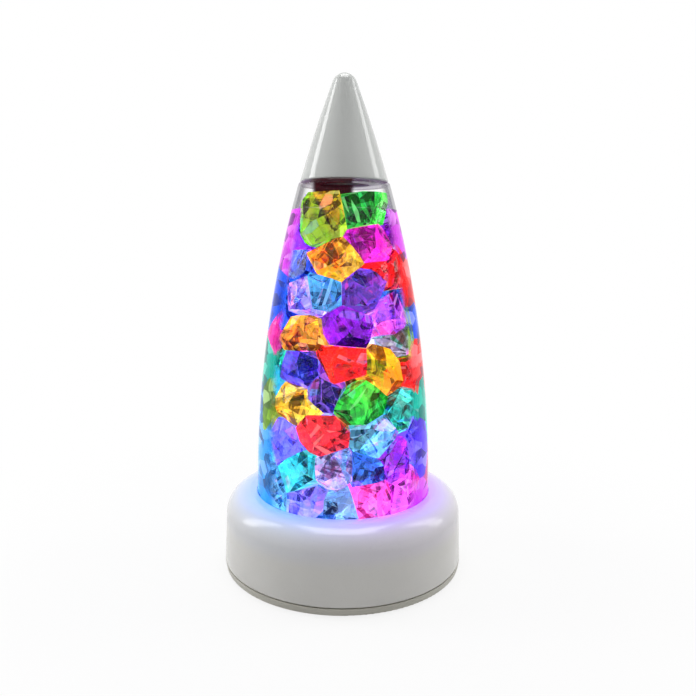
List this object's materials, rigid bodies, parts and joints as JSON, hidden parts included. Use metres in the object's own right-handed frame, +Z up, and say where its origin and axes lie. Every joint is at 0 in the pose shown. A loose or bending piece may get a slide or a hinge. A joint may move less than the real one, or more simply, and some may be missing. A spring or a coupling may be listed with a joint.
{
  "type": "sensory table lamp",
  "caption": "Sensory lamp: a clear bullet-shaped tank of coloured faceted stones in water, lit from below by a round white base, under a lift-off pointed cap.",
  "frame": {"origin": "on the lamp's axis, at the surface that the feet stand on", "axes": "+Z up along the lamp's axis, front facing -Y, button and inlet at the rear, +Y"},
  "size_m": [0.128, 0.128, 0.2569],
  "materials": {
    "shell_white": "glossy off-white moulding",
    "plate_grey": "satin grey-white moulding",
    "steel": "plated steel",
    "rubber": "soft black rubber",
    "clear_wall": "clear moulding",
    "seal_rubber": "translucent silicone",
    "inner_white": "plain white moulding",
    "cap_white": "glossy white moulding",
    "board_white": "white solder mask",
    "led": "milky lens, lit",
    "black_plastic": "moulded black",
    "button_grey": "satin grey",
    "contact_metal": "nickel plate",
    "cell_wrap": "plain dark sleeve",
    "gem_red": "clear tinted acrylic, faceted, lit from below",
    "gem_amber": "clear tinted acrylic, faceted, lit from below",
    "gem_lime": "clear tinted acrylic, faceted, lit from below",
    "gem_green": "clear tinted acrylic, faceted, lit from below",
    "gem_teal": "clear tinted acrylic, faceted, lit from below",
    "gem_sky": "clear tinted acrylic, faceted, lit from below",
    "gem_blue": "clear tinted acrylic, faceted, lit from below",
    "gem_violet": "clear tinted acrylic, faceted, lit from below",
    "gem_purple": "clear tinted acrylic, faceted, lit from below",
    "gem_magenta": "clear tinted acrylic, faceted, lit from below",
    "gem_pink": "clear tinted acrylic, faceted, lit from below",
    "gem_clear": "clear tinted acrylic, faceted, lit from below"
  },
  "bodies": {
    "base": {"base_shell": "shell_white", "base_plate": "plate_grey", "plate_screws": "steel", "rubber_feet": "rubber", "tank": "clear_wall", "tank_floor": "clear_wall", "tank_gasket": "seal_rubber", "clamp_ring": "inner_white", "clamp_screws": "steel", "neck_seal": "seal_rubber", "main_board": "board_white", "board_screws": "steel", "leds": "led", "controller_chip": "black_plastic", "power_switch": "black_plastic", "power_inlet": "contact_metal", "batteries": "cell_wrap", "battery_contacts": "contact_metal", "gems_red": "gem_red", "gems_amber": "gem_amber", "gems_lime": "gem_lime", "gems_green": "gem_green", "gems_teal": "gem_teal", "gems_sky": "gem_sky", "gems_blue": "gem_blue", "gems_violet": "gem_violet", "gems_purple": "gem_purple", "gems_magenta": "gem_magenta", "gems_pink": "gem_pink", "gems_clear": "gem_clear"},
    "cap": {"cap": "cap_white"},
    "button": {"power_button": "button_grey"},
    "door": {"battery_door": "plate_grey"}
  },
  "joints": [
    {"name": "cap_lift", "type": "slide", "parent": "base", "child": "cap", "axis": [0, 0, 1], "range_m": [0, 0.03]},
    {"name": "button_press", "type": "slide", "parent": "base", "child": "button", "axis": [0, -1, 0], "range_m": [0, 0.0015], "stiffness_N_per_m": 600},
    {"name": "door_hinge", "type": "hinge", "parent": "base", "child": "door", "pos_m": [-0.02675, 0, 0.0022], "axis": [0, 1, 0], "range_deg": [0, 90]}
  ]
}
